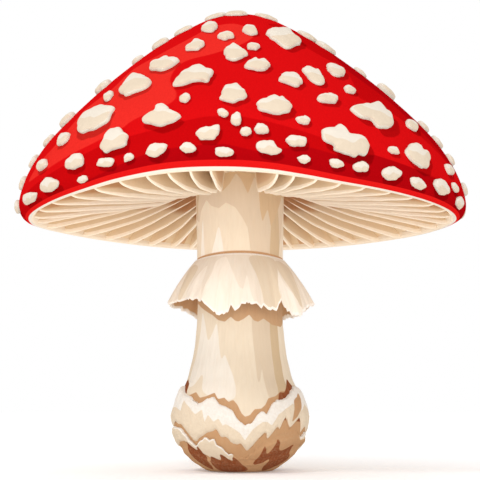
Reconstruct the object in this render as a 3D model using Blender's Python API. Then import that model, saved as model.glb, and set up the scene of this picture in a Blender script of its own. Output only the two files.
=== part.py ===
"""A fly agaric mushroom, standing on its bulb.

The origin is the centre of the small flat under the bulb. +Z is up, the front is -Y and the right is +X.
An azimuth is counted from the front towards the right. Lengths are in millimetres until a mesh is made.
"""

import math
import random

import bmesh
import bpy
from mathutils import Vector

MM = 0.001
GAP = 0.35

# Cap: radius and height of the red surface, from its crown to the rounded margin and its inner lip.
CAP_OUTLINE = (
    (0, 137.2), (10, 134.9), (20, 129), (30, 121.4), (40, 112.6), (48, 104.8),
    (55, 97.8), (60, 92.2), (64.1, 85.5), (65.9, 78.8), (65.1, 75.3), (62.4, 73.5), (61, 74.5),
)
CAP_SEGMENTS = 48
CAP_RINGS = 18
CAP_UNDERSIDE = ((60.9, 75.9), (55, 79.4), (45, 82.2), (28, 85.4), (13.6, 87.2))

# The uneven edge: its rise by azimuth, and the radii between which it fades in.
EDGE_RISE = (
    (-90, -2), (-64, -2.8), (-43, -1.7), (-29, 0), (-16, 1.2), (-4, 1.1), (6, 0.4), (14, -0.7), (26, -2.1),
    (50, -3), (75, -2.7), (95, -1.4), (129, 0.1), (165, 0.3), (195, 0.3), (226, 0.6), (248, 0), (270, -2),
)
WAVE_START = 44
WAVE_END = 65

# The cap's lower part sits this much to the right. The shift fades in between the two radii.
LEAN = 0.7
LEAN_START = 28
LEAN_END = 55

# Gills: thin blades that hang from a plate close under the cap's flesh.
GILL_COUNT = 46
GILL_SIDE_SPREAD = 12
GILL_BACK_SPREAD = 6.6
GILL_RADII = (60.4, 56, 50, 38, 25, 13.7)
GILL_EDGE = (74.9, 73, 72.2, 72.4, 74.5, 80.5)
GILL_THICKNESS = (0.8, 0.8, 0.8, 0.7, 0.5, 0.35)
PLATE_THICKNESS = 1.1

# Stem with its bulb, as height and radius. The bulb is slimmer where the torn scales lie on it.
STEM_OUTLINE = (
    (0, 11), (1.2, 12.8), (2.8, 14.2), (4.7, 15.3), (6.5, 16.7), (8.3, 17.6), (11.8, 18.5), (15.4, 18.8),
    (18.9, 17.9), (22.5, 16.5), (26, 15.2), (29.6, 14.5), (33.2, 13.7), (38.6, 13), (45, 12.6), (62, 12.8),
    (79, 13.1), (86.8, 13.1),
)
STEM_SEGMENTS = 40

# Ring: a thin skirt, with the height of its torn hem by azimuth.
RING_OUTLINE = ((13.7, 61.3), (15.2, 58.8), (17.2, 55.6), (19.1, 52.2))
RING_HEM_RADIUS = 21.2
RING_HEM = (
    (-90, 48.6), (-50, 47.8), (-36, 48), (-29, 47), (-16, 43.2), (2, 46.2), (18, 44.8), (30, 44.6),
    (35, 47.6), (43, 43.8), (60, 44.6), (90, 48.4), (120, 46), (150, 44.6), (180, 47.4), (215, 44.8),
    (240, 47.6), (270, 48.6),
)
RING_COLUMNS = 48
RING_THICKNESS = 0.9
RING_PLEATS = 9
RING_PLEAT_DEPTH = 0.7

# Torn scales of the bulb: the outline that their outer faces follow, as height and radius, and the height
# of each row's free edge by azimuth.
BULB_OUTLINE = (
    (1.2, 12.9), (2.9, 14.6), (4.7, 16.4), (6.5, 17.8), (8.3, 18.8), (11.8, 19.7), (15.4, 20),
    (18.9, 19.1), (22.5, 17.7), (26, 15.9), (29.6, 14.8),
)
RUFF_TOPS = (
    ((-100, 25), (-70, 24), (-45, 21.4), (-25, 21), (-8, 19.6), (1, 15.2), (12, 18), (28, 20.4),
     (50, 24), (80, 25), (120, 23), (150, 20), (180, 22.6), (215, 19.6), (240, 23), (260, 25)),
    ((-100, 17), (-70, 16), (-45, 13), (-22, 12.4), (-10, 9.6), (2, 8.2), (14, 11), (40, 14.6),
     (75, 16.6), (120, 14), (160, 12), (200, 14.4), (230, 12), (260, 17)),
    ((-100, 8.6), (-75, 9), (-50, 8), (-25, 5.6), (0, 5), (25, 6.6), (60, 9), (90, 8), (130, 6.4),
     (170, 8), (210, 6), (260, 8.6)),
)
RUFF_FOOT = 3
RUFF_SPACE = 1.5
RUFF_JAG = 0.9
RUFF_COLUMNS = 40
RUFF_STATIONS = (0, 0.33, 0.67, 1)
RUFF_LIFT = 0.5
RUFF_GAP = 0.45

# Warts with an outline of their own: azimuth, distance down from the crown, and the outline's points
# across and up the slope.
SHAPED_WARTS = (
    (-34.5, 62, ((-5.5, 5.5), (-5.5, 2.5), (-4.5, -2), (-2, -4.5), (0.5, -6), (3.5, -5.5), (6.5, -4.5),
                 (6, -1.5), (5, 0.5), (2, 3), (-1, 5.5), (-5, 7.5))),
    (-14.5, 63, ((-5, -4), (-4, -5), (-2, -5), (0.5, -3.5), (3, -3.5), (4.5, -4), (5, -1.5), (5.5, 2),
                 (3, 4), (1, 7), (-1, 6), (-2.5, 4), (-4, 2.5), (-4, 0.5))),
    (-18.5, 81, ((-5.5, -1), (-3, -3), (1, -4.5), (3.5, -3.5), (5.5, -2.5), (5.5, -1.5), (2.5, 0.5),
                 (1, 2.5), (-0.5, 4), (-1.5, 4), (-2.5, 3.5), (-2.5, 1), (-4, 0.5))),
    (-40.5, 75.5, ((-8.5, 4), (-6, -1.5), (-4, -3.5), (-0.5, -5), (3.5, -5), (7, -4), (7.5, -2), (6, 2),
                   (3, 4), (-2.5, 6), (-5, 5.5))),
    (-29.5, 86, ((-4, -2), (-2, -3.5), (0, -3.5), (4, -3), (4.5, -2), (4, 0), (2.5, 1.5), (1, 3), (-1, 3.5),
                 (-2.5, 3), (-3.5, 2), (-3.5, 0.5))),
    (22.5, 36, ((-5, 0.5), (-4.5, -2.5), (-3.5, -7), (-1.5, -9), (4.5, -3), (5.5, 0), (5, 4.5), (5, 9.5),
                (-2.5, 5), (-4, 3))),
    (7.5, 77.5, ((-5, -1), (-4, -3), (-0.5, -4), (2.5, -3), (4.5, -0.5), (4, 0.5), (2.5, 3), (1.5, 2.5),
                 (0, 3.5), (-2, 2), (-4.5, 0))),
    (-2.5, 73.5, ((-3, -3), (-0.5, -4.5), (2, -3.5), (3.5, -2), (3.5, 0), (1.5, 4), (0.5, 5), (-1.5, 4),
                  (-2.5, 2.5), (-3, -2))),
    (-2.5, 49, ((-3, 1), (-2.5, -3), (-2, -4.5), (0.5, -5.5), (3, -3), (3.5, -1), (2, 1.5), (0.5, 4.5),
                (-0.5, 5.5), (-1.5, 3.5))),
    (36, 74, ((-9, -0.5), (-7, -3), (-4, -3.5), (-2.5, -5.5), (2.5, -4.5), (4, -3.5), (7, 1.5), (6, 2.5),
              (5, 5.5), (3.5, 5.5), (-0.5, 3.5), (-5, 2))),
    (23, 85.5, ((-6.5, -1.5), (-4, -2.5), (-3.5, -3.5), (1, -4.5), (3, -3.5), (5, -3.5), (7, -1),
                (6.5, 0.5), (5, 2), (1.5, 2), (0, 4), (-1, 4.5), (-2.5, 3.5), (-5.5, 2), (-6.5, 1))),
    (45.5, 84.5, ((-6.5, -0.5), (-4, -3.5), (0.5, -4), (2, -3), (4.5, 0), (4, 1.5), (1.5, 1.5), (1, 3),
                  (-0.5, 3), (-2.5, 2.5))),
    (-20.5, 42.5, ((-2.5, -1), (-1.5, -3), (2, -3.5), (3, 0), (2, 2), (-1, 4.5), (-1.5, 1))),
    (5.5, 57, ((-4, -0.5), (-3, -2.5), (0.5, -3.5), (2, -2), (3, 0), (2, 3), (0, 2.5), (-1, 3.5))),
    (-29, 52.5, ((-5, 1.5), (-4.5, -0.5), (-3, -2.5), (0.5, -4), (2.5, -4.5), (4, -2.5), (5, 0.5), (3.5, 2),
                 (1.5, 2.5), (-1, 4.5), (-2.5, 2.5), (-4, 2.5))),
    (14, 64.5, ((-3.5, 0), (-3, -1.5), (0.5, -3.5), (2, -2), (3, 0), (2, 3.5), (-1, 3.5))),
    (23, 60, ((-3, 2), (-2.5, -4), (-0.5, -5.5), (1, -4.5), (2, -2), (2, -0.5), (2.5, 3.5), (1, 3),
              (-0.5, 4.5), (-2, 3.5))),
    (-18.5, 91.5, ((-3, -0.5), (-2.5, -1), (-0.5, -2), (2, -1), (3, 0.5), (2.5, 1), (0.5, 1.5),
                   (-1.5, 1.5))),
    (-7.5, 88, ((-3, -0.5), (-1.5, -2), (1.5, -2), (2.5, -1), (3, 0.5), (3, 2), (2, 2), (0.5, 1.5),
                (-1, 1.5), (-2.5, 0.5))),
    (5.5, 91.5, ((-3.5, 0.5), (-2.5, -1), (0.5, -1.5), (2.5, -1), (3, 0), (2, 0.5), (1, 2), (-1, 2),
                 (-2.5, 1.5))),
)
# Rounder warts of the front: azimuth, distance down, length, width, and the length's turn from level.
FRONT_WARTS = (
    (-38, 12.5, 7.4, 5.6, 20), (-4, 13, 6.6, 5.6, 0), (39, 13, 7, 5.4, -20), (-54, 23, 7.4, 5.6, 0),
    (-59, 31, 7.6, 5.8, 0), (56, 27, 7.4, 5.6, 0), (59, 33.5, 8, 5.8, 0), (-64, 53.5, 7.6, 5.8, 0),
    (68, 54.5, 7.8, 5.8, 0), (-66, 67.5, 7.4, 5.4, 0),
)
BACK_WARTS = 20
BACK_FROM = 92
BACK_TO = 268
GOLDEN_TURN = 0.618034
WART_POINTS = 9
WART_SEED = 11
CROWN = 45


def spline(points, steps):
    """Points along a smooth curve through the given ones, with the same number of steps in each span."""
    curve = []
    last = len(points) - 1
    for i in range(last):
        before = Vector(points[max(i - 1, 0)])
        start = Vector(points[i])
        end = Vector(points[i + 1])
        after = Vector(points[min(i + 2, last)])
        for step in range(steps):
            t = step / steps
            bend = (2 * before - 5 * start + 4 * end - after) * t * t
            twist = (3 * start - before - 3 * end + after) * t * t * t
            curve.append(start + 0.5 * ((end - before) * t + bend + twist))
    curve.append(Vector(points[last]))
    return curve


def between(pairs, x):
    """The value at x on the straight lines through (x, value) pairs, flat beyond both ends."""
    if x <= pairs[0][0]:
        return pairs[0][1]
    for (x0, y0), (x1, y1) in zip(pairs, pairs[1:]):
        if x <= x1:
            return y0 + (y1 - y0) * (x - x0) / (x1 - x0)
    return pairs[-1][1]


def around(pairs, azimuth):
    """The value at an azimuth, where the pairs cover one full turn from the first to the last."""
    start = pairs[0][0]
    return between(pairs, start + (azimuth - start) % 360)


def by_distance(curve):
    """The (distance, radius) and (distance, height) pairs of a curve, counted along it from its start."""
    radii = []
    heights = []
    distance = 0.0
    for i, point in enumerate(curve):
        distance += (point - curve[i - 1]).length if i else 0.0
        radii.append((distance, point.x))
        heights.append((distance, point.y))
    return radii, heights


EDGE_CURVE = [(point.x, point.y) for point in spline(EDGE_RISE, 6)]
CAP_RADII, CAP_HEIGHTS = by_distance(spline(CAP_OUTLINE, 12))
CAP_LENGTH = CAP_RADII[-1][0]


def turn_at(azimuth):
    """The horizontal direction of an azimuth in degrees."""
    angle = math.radians(azimuth)
    return Vector((math.sin(angle), -math.cos(angle), 0))


def fade(radius, start, end):
    """0 inside the first radius and 1 outside the second."""
    return min(max((radius - start) / (end - start), 0), 1)


def edge_wave(radius, azimuth):
    """How far the cap is raised here by its uneven edge: not at all at the crown, fully at the margin."""
    return around(EDGE_CURVE, azimuth) * fade(radius, WAVE_START, WAVE_END) ** 2


def place(azimuth, radius, height):
    """A point of the cap's own flesh or gills, moved with its lean and the wave of its edge."""
    lean = LEAN * fade(radius, LEAN_START, LEAN_END)
    return turn_at(azimuth) * radius + Vector((lean, 0, height + edge_wave(radius, azimuth)))


def cap_point(azimuth, down):
    return place(azimuth, between(CAP_RADII, down), between(CAP_HEIGHTS, down))


def cap_normal(azimuth, down):
    along = cap_point(azimuth, down + 0.5) - cap_point(azimuth, down - 0.5)
    across = cap_point(azimuth + 0.5, down) - cap_point(azimuth - 0.5, down)
    return across.cross(-along).normalized()


def material(name, colour, roughness):
    made = bpy.data.materials.new(name)
    made.use_nodes = True
    shader = made.node_tree.nodes["Principled BSDF"]
    shader.inputs["Base Color"].default_value = (*colour, 1)
    shader.inputs["Roughness"].default_value = roughness
    shader.inputs["Metallic"].default_value = 0
    return made


def add_object(name, mesh_data, finish):
    """Makes an object from a bmesh in millimetres."""
    bmesh.ops.recalc_face_normals(mesh_data, faces=mesh_data.faces)
    bmesh.ops.scale(mesh_data, vec=(MM, MM, MM), verts=mesh_data.verts)
    mesh = bpy.data.meshes.new(name)
    mesh_data.to_mesh(mesh)
    mesh_data.free()
    mesh.shade_smooth()
    mesh.set_sharp_from_angle(angle=math.radians(40))
    mesh.materials.append(finish)
    made = bpy.data.objects.new(name, mesh)
    bpy.context.scene.collection.objects.link(made)
    return made


def add_loop(mesh_data, points):
    return [mesh_data.verts.new(point) for point in points]


def bridge(mesh_data, first, second):
    """Faces between two closed loops of the same number of points."""
    count = len(first)
    for i in range(count):
        j = (i + 1) % count
        mesh_data.faces.new((first[i], first[j], second[j], second[i]))


def fan(mesh_data, centre, loop):
    for i, vertex in enumerate(loop):
        mesh_data.faces.new((centre, vertex, loop[(i + 1) % len(loop)]))


def azimuths(count):
    return [360 * i / count for i in range(count)]


def make_cap(finish):
    mesh_data = bmesh.new()
    top = mesh_data.verts.new(cap_point(0, 0))
    loops = []
    for ring in range(1, CAP_RINGS + 1):
        down = CAP_LENGTH * (ring / CAP_RINGS) ** 0.72
        loops.append(add_loop(mesh_data, [cap_point(a, down) for a in azimuths(CAP_SEGMENTS)]))
    for radius, height in CAP_UNDERSIDE:
        loops.append(add_loop(mesh_data, [place(a, radius, height) for a in azimuths(CAP_SEGMENTS)]))
    bottom = mesh_data.verts.new((0, 0, CAP_UNDERSIDE[-1][1]))
    fan(mesh_data, top, loops[0])
    for first, second in zip(loops, loops[1:]):
        bridge(mesh_data, first, second)
    fan(mesh_data, bottom, loops[-1])
    add_object("cap", mesh_data, finish)


def plate_height(radius):
    """The top of the gills' plate, close under the cap's flesh."""
    return between(sorted(CAP_UNDERSIDE), radius) - GAP


def gill_turn(index):
    """The azimuth of a gill. They stand closest at the front and furthest apart at the sides."""
    even = math.radians(360 * index / GILL_COUNT)
    return math.degrees(even) - GILL_SIDE_SPREAD * math.sin(2 * even) - GILL_BACK_SPREAD * math.sin(even)


def blade_columns(index, thickness, radius):
    """The four azimuths of one blade's pitch: its two faces, then the two sides of the space after it."""
    half = math.degrees(0.5 * thickness / radius)
    middle = gill_turn(index)
    slope = 0.25 * half
    return (middle - half, middle + half, middle + half + slope, gill_turn(index + 1) - half - slope)


def make_gills(finish):
    mesh_data = bmesh.new()
    loops = []
    for radius, edge, thickness in zip(GILL_RADII, GILL_EDGE, GILL_THICKNESS):
        points = []
        for index in range(GILL_COUNT):
            columns = blade_columns(index, thickness, radius)
            roof = plate_height(radius) - PLATE_THICKNESS
            if radius == GILL_RADII[0]:
                roof = edge + 0.2
            for azimuth, height in zip(columns, (edge, edge, roof, roof)):
                points.append(place(azimuth, radius, height))
        loops.append(add_loop(mesh_data, points))
    for first, second in zip(loops, loops[1:]):
        bridge(mesh_data, first, second)
    close_gills(mesh_data, loops[0], loops[-1])
    add_object("gills", mesh_data, finish)


def close_gills(mesh_data, outer, inner):
    """The plate's smooth top: a coarse loop for each middle radius, met by the blades' many points."""
    middles = []
    for radius in (GILL_RADII[0] - 5, 45, 28, GILL_RADII[-1]):
        turns = [gill_turn(index + 0.5) for index in range(GILL_COUNT)]
        points = [place(azimuth, radius, plate_height(radius)) for azimuth in turns]
        middles.append(add_loop(mesh_data, points))
    for first, second in zip(middles, middles[1:]):
        bridge(mesh_data, first, second)
    for fine, coarse in ((outer, middles[0]), (inner, middles[-1])):
        for index in range(GILL_COUNT):
            following = (index + 1) % GILL_COUNT
            columns = [fine[(4 * index + step) % len(fine)] for step in (2, 3, 4, 5, 6)]
            for one, other in zip(columns, columns[1:]):
                mesh_data.faces.new((coarse[index], one, other))
            mesh_data.faces.new((coarse[index], columns[-1], coarse[following]))


def make_stem(finish):
    mesh_data = bmesh.new()
    loops = []
    for height, radius in STEM_OUTLINE:
        points = [turn_at(a) * radius + Vector((0, 0, height)) for a in azimuths(STEM_SEGMENTS)]
        loops.append(add_loop(mesh_data, points))
    for first, second in zip(loops, loops[1:]):
        bridge(mesh_data, first, second)
    mesh_data.faces.new(loops[0])
    mesh_data.faces.new(loops[-1])
    add_object("stem", mesh_data, finish)


def jag(index):
    """A torn edge's small step up or down, with no plain repeat."""
    return 0.6 * (-1) ** index + 0.4 * math.sin(2.3 * index)


def ring_point(azimuth, along, offset, tear):
    """A point of the skirt: along is 0 at its collar and 1 at its hem, offset is out from its middle."""
    hem = around(RING_HEM, azimuth) + tear
    outline = (*RING_OUTLINE, (RING_HEM_RADIUS, hem))
    radius = between([(i / 4, p[0]) for i, p in enumerate(outline)], along)
    height = between([(i / 4, p[1]) for i, p in enumerate(outline)], along)
    pleat = RING_PLEAT_DEPTH * along ** 1.5 * math.sin(math.radians(azimuth) * RING_PLEATS)
    return turn_at(azimuth) * (radius + pleat + offset) + Vector((0, 0, height))


def make_ring(finish):
    mesh_data = bmesh.new()
    half = RING_THICKNESS / 2
    outside = [(step / 4, half) for step in range(5)]
    inside = [(step / 4, -half) for step in (4, 3, 2, 1, 0)]
    loops = []
    for along, offset in outside + inside:
        turns = enumerate(azimuths(RING_COLUMNS))
        points = [ring_point(a, along, offset, 0.6 * jag(i) * along ** 3) for i, a in turns]
        loops.append(add_loop(mesh_data, points))
    for first, second in zip(loops, loops[1:] + loops[:1]):
        bridge(mesh_data, first, second)
    add_object("ring", mesh_data, finish)


def ruff_loops(tops, next_tops):
    """The closed loops round a row of scales: up its outer face to the free edge, then down inside."""
    loops = [[] for _ in range(2 * len(RUFF_STATIONS))]
    for index, azimuth in enumerate(azimuths(RUFF_COLUMNS)):
        low = around(next_tops, azimuth) + RUFF_SPACE if next_tops else RUFF_FOOT
        high = around(tops, azimuth) + RUFF_JAG * jag(index)
        for station, along in enumerate(RUFF_STATIONS):
            height = low + (high - low) * along
            up = Vector((0, 0, height))
            outer = between(BULB_OUTLINE, height) + RUFF_LIFT * along
            inner = between(STEM_OUTLINE, height) + RUFF_GAP
            loops[station].append(turn_at(azimuth) * outer + up)
            loops[-1 - station].append(turn_at(azimuth) * inner + up)
    return loops


def make_ruffs(finish):
    for number, tops in enumerate(RUFF_TOPS, start=1):
        next_tops = RUFF_TOPS[number] if number < len(RUFF_TOPS) else None
        mesh_data = bmesh.new()
        loops = [add_loop(mesh_data, points) for points in ruff_loops(tops, next_tops)]
        for first, second in zip(loops, loops[1:] + loops[:1]):
            bridge(mesh_data, first, second)
        add_object(f"volva_ruff_{number}", mesh_data, finish)


def round_outline(length, width, turn, source):
    """The points of a rounded, lumpy outline."""
    points = []
    tilt = math.radians(turn)
    for step in range(WART_POINTS):
        angle = 2 * math.pi * (step + source.uniform(-0.2, 0.2)) / WART_POINTS
        reach = 0.5 * source.uniform(0.88, 1.1)
        x = length * reach * math.cos(angle)
        y = width * reach * math.sin(angle)
        points.append((x * math.cos(tilt) - y * math.sin(tilt), x * math.sin(tilt) + y * math.cos(tilt)))
    return points


def on_cap(azimuth, down, across, up, lift):
    """The point that lies across and up from a place on the cap, and lift above its surface."""
    radius = between(CAP_RADII, down - up)
    turn = azimuth + math.degrees(across / radius) if down > CROWN else azimuth
    distance = down - up
    if down <= CROWN:
        radius_there = math.hypot(radius, across)
        turn += math.degrees(math.atan2(across, radius))
        distance += radius_there - radius
    return cap_point(turn, distance) + cap_normal(turn, distance) * lift


def make_wart(name, azimuth, down, outline, finish):
    """A low lump with a flat underside: its sides bulge a little and its top is domed."""
    size = min(max(abs(x) for x, y in outline), max(abs(y) for x, y in outline))
    thickness = min(max(0.55 * size, 1.1), 2.2)
    stations = ((1, GAP + 0.15), (0.97, 0.45 * thickness + GAP), (0.62, 0.95 * thickness + GAP))
    mesh_data = bmesh.new()
    loops = []
    for spread, lift in stations:
        points = [on_cap(azimuth, down, x * spread, y * spread, lift) for x, y in outline]
        loops.append(add_loop(mesh_data, points))
    bottom = mesh_data.verts.new(on_cap(azimuth, down, 0, 0, stations[0][1]))
    top = mesh_data.verts.new(on_cap(azimuth, down, 0, 0, thickness + GAP))
    fan(mesh_data, bottom, loops[0])
    for first, second in zip(loops, loops[1:]):
        bridge(mesh_data, first, second)
    fan(mesh_data, top, loops[-1])
    add_object(name, mesh_data, finish)


def back_warts(source):
    """Warts for the hidden half, spread evenly over it and sized like those of the front."""
    rows = []
    for index in range(BACK_WARTS):
        share = (index + 0.5) / BACK_WARTS
        azimuth = BACK_FROM + (BACK_TO - BACK_FROM) * ((index * GOLDEN_TURN + 0.3) % 1)
        down = 14 + 76 * share ** 0.62
        length = source.uniform(6.5, 12)
        rows.append((azimuth, down, length, length * source.uniform(0.6, 0.8), source.uniform(-40, 40)))
    return rows


def make_warts(finish):
    source = random.Random(WART_SEED)
    shaped = list(SHAPED_WARTS)
    for azimuth, down, length, width, turn in (*FRONT_WARTS, *back_warts(source)):
        shaped.append((azimuth, down, round_outline(length, width, turn, source)))
    for number, (azimuth, down, outline) in enumerate(shaped, start=1):
        make_wart(f"wart_{number:02d}", azimuth, down, outline, finish)


def clear_scene():
    for existing in list(bpy.data.objects):
        bpy.data.objects.remove(existing, do_unlink=True)


clear_scene()
make_cap(material("cap_skin", (0.72, 0.012, 0.012), 0.25))
make_gills(material("gill", (0.86, 0.74, 0.58), 0.7))
make_stem(material("stem", (0.88, 0.78, 0.64), 0.7))
make_ring(material("ring", (0.93, 0.86, 0.74), 0.7))
make_ruffs(material("volva", (0.9, 0.8, 0.66), 0.8))
make_warts(material("wart", (0.94, 0.88, 0.76), 0.75))
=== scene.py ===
"""The looks of a fly agaric mushroom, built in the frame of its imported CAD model.

The mushroom's lengths are in millimetres and are scaled to the frame when a mesh is made. The floor, the
lights and the camera are in metres. +Z is up and the front is -Y. An azimuth is in degrees, from the front
towards the right (+X).
"""

import math
import random

import bpy
import numpy as np
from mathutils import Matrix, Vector, noise
from mathutils.bvhtree import BVHTree


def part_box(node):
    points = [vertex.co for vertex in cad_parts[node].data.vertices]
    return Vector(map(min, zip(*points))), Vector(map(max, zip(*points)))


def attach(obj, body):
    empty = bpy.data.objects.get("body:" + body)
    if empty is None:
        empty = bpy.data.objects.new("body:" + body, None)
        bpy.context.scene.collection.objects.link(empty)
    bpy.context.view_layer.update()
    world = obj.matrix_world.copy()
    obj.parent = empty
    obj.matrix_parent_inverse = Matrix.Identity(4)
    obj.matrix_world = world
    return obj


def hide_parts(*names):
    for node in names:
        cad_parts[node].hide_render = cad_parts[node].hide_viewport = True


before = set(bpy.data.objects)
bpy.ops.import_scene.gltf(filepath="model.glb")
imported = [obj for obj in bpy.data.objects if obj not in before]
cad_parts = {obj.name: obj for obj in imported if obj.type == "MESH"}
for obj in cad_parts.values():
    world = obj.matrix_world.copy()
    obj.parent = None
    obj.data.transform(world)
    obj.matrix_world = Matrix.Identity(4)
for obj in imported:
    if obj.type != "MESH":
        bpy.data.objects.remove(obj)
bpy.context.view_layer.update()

CAP_TOP = 137.2
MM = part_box("cap")[1][2] / CAP_TOP
BODY = "root"
SHARP_EDGE = 60
# Half the floor's width, its gap under the bulb, and the place that the lights point at.
FLOOR_HALF = 3
FLOOR_GAP = 0.0002
LIT_PLACE = (0, 0, 0.08)
# The middle radius of each surface that outlines of azimuth and height are drawn on.
CAP_MIDDLE = 45
STEM_MIDDLE = 13.5
BULB_MIDDLE = 18
FOOT_MIDDLE = 17
RING_MIDDLE = 18
# The radius at which the stem's and the ring's grain is looked up.
GRAIN_RADIUS = 9

# Cap: radius and height from the crown to the inner lip of the margin, as in the CAD.
CAP_OUTLINE = (
    (0, CAP_TOP), (10, 134.9), (20, 129), (30, 121.4), (40, 112.6), (48, 104.8),
    (55, 97.8), (60, 92.2), (64.1, 85.5), (65.9, 78.8), (65.1, 75.3), (62.4, 73.5), (61, 74.5),
)
CAP_UNDERSIDE = ((60.9, 75.9), (55, 79.4), (45, 82.2), (28, 85.4), (13.6, 87.2))
CAP_COLUMNS = 440
CAP_STEP = 0.7

# The uneven edge: its rise by azimuth, and the radii where it fades in. Then the lean to the right.
EDGE_RISE = (
    (-90, -2), (-64, -2.8), (-43, -1.7), (-29, 0), (-16, 1.2), (-4, 1.1), (6, 0.4), (14, -0.7),
    (26, -2.1), (50, -3), (75, -2.7), (95, -1.4), (129, 0.1), (165, 0.3), (195, 0.3), (226, 0.6),
    (248, 0), (270, -2),
)
WAVE_START = 44
WAVE_END = 65
LEAN = 0.7
LEAN_START = 28
LEAN_END = 55

# Painted shade towards the margin, as distances down from the crown by azimuth: where middle and deep reds
# start.
MIDDLE_SHADE_LINE = (
    (-180, 82), (-150, 87), (-125, 80), (-100, 91), (-68, 92), (-46, 89), (-34, 87), (-20, 86),
    (-8, 83), (0, 83), (17, 86), (28, 88), (52, 90), (66, 89), (85, 80), (110, 90), (135, 84),
    (160, 89), (180, 82),
)
DEEP_SHADE_LINE = (
    (-180, 92), (-150, 94), (-120, 90), (-90, 98), (-50, 97), (-30, 94), (-20, 92), (-4, 91), (3, 92.5),
    (14, 89.5), (20, 90), (30, 88), (40, 89), (55, 91), (70, 93), (95, 89), (120, 94), (150, 90),
    (180, 92),
)
# Where the margin's brighter red starts: partly painted highlight where the edge turns, partly its own
# lighter red.
MARGIN_BAND = (
    (-180, 95.6), (-100, 96.2), (-82, 96.6), (-50, 95.6), (0, 94.8), (50, 95.2), (82, 96.6),
    (100, 96.2),
)
LIP_WIDTH = 0.9
CREAM_LIP = (
    (-180, 96.4), (-95, 97.6), (-60, 97.4), (-30, 96.9), (0, 96.7), (30, 96.9), (60, 97.4), (95, 97.6),
)

# Outlines of the skin's lighter and darker fields, as azimuth and distance down. In front they are painted:
# a highlight on the lit left slope and shade at the sides. On the hidden half they are mottling.
HIGHLIGHT_AND_MOTTLE_FIELDS = (
    ((8, 33), (2, 42), (-10, 49), (-21, 53), (-22, 62), (-17, 72), (-18, 77), (-26, 81), (-30, 84),
     (-42, 86), (-56, 88), (-64, 88), (-60, 84), (-54, 80), (-52, 73), (-53, 67), (-47, 60), (-47, 50),
     (-38, 44), (-27, 35), (-20, 28), (-4, 26)),
    ((118, 30), (132, 52), (128, 70), (112, 78), (104, 70), (106, 52), (108, 36)),
    ((196, 34), (212, 50), (206, 72), (186, 80), (172, 70), (176, 50), (186, 38)),
)
SHADE_AND_MOTTLE_FIELDS = (
    ((22, 24), (30, 30), (31, 39), (36, 46), (42, 50), (38, 60), (34, 67), (40, 70), (46, 72), (50, 76),
     (58, 81), (66, 85), (70, 82), (66, 72), (62, 60), (60, 46), (60, 34), (48, 22)),
    ((-76, 30), (-70, 50), (-74, 72), (-84, 84), (-96, 76), (-92, 52), (-84, 34)),
    ((146, 28), (156, 46), (152, 64), (144, 74), (138, 58), (138, 40)),
    ((226, 30), (242, 48), (244, 70), (232, 82), (222, 66), (220, 44)),
)
# The deep red of painted shade down the right side.
DEEP_SHADE_FIELD = (
    (44, 50), (50, 62), (54, 72), (60, 80), (67, 84.5), (76, 87), (90, 88), (98, 70), (90, 50),
    (72, 36), (56, 36),
)

# Gills: blades that hang from the cap's underside. Radius with the height of the free edge and thickness.
GILL_COUNT = 46
GILL_SIDE_SPREAD = 12
GILL_BACK_SPREAD = 6.6
GILL_START = 13.7
GILL_END = 61.3
GILL_EDGE = (
    (13.7, 81.5), (25, 76.4), (38, 74.2), (50, 72.8), (56, 72.8), (59.5, 73.1), (61.3, 73.8),
)
BACK_GILL_EDGE = (
    (13.7, 84.2), (25, 80.5), (38, 77), (50, 74.8), (56, 73.9), (59.5, 73.4), (61.3, 73.8),
)
BACK_START = 72
BACK_END = 98
GILL_THICKNESS = ((13.7, 0.3), (25, 0.35), (38, 0.5), (50, 0.65), (60.4, 0.7))
GILL_STATIONS = 34
# The thin roof that joins the blades: its drop under the cap and its thickness. Its rise stands for deep.
ROOF_DROP = 0.7
ROOF_THICKNESS = 0.35
ROOF_RISE = 12
GILL_GAP = 6
# How far the bright and the light band reach up a blade from its free edge, front and back; tan above is
# painted shade.
FRONT_BRIGHT = ((13.7, 0.2), (25, 0.6), (38, 1), (48, 1), (55, 0.7), (61.3, 0.2))
FRONT_LIGHT = ((13.7, 0.6), (30, 1.5), (40, 2), (50, 2.1), (56, 1.5), (61.3, 0.6))
BACK_BRIGHT = ((13.7, -0.4), (19, -0.1), (25, 0.3), (38, 0.6), (50, 1), (61.3, 1.3))
BACK_LIGHT = ((13.7, 1), (22, 3), (30, 7), (61.3, 9))
# How far from the stem the brown painted shade between the blades reaches, by the azimuth to either side.
SHADE_REACH = ((25, 0), (45, 18), (75, 31), (90, 32), (110, 28), (135, 26), (150, 27), (165, 31))

# Stem and bulb, as height and radius. The foot is slightly slimmer than in the CAD.
STEM_OUTLINE = (
    (0, 9.4), (0.5, 10.5), (1.2, 11.6), (2.8, 13.6), (4.7, 15.5), (6.5, 17), (8.3, 18.1), (11.8, 19.1),
    (15.4, 19.4), (18.9, 18.5), (22.5, 17), (26, 15.4), (29.6, 14.5), (33.2, 13.7), (38.6, 13),
    (45, 12.6), (62, 12.8), (79, 13.2), (86.8, 13.4),
)
STEM_COLUMNS = 260
STEM_STEP = 0.4
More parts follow.
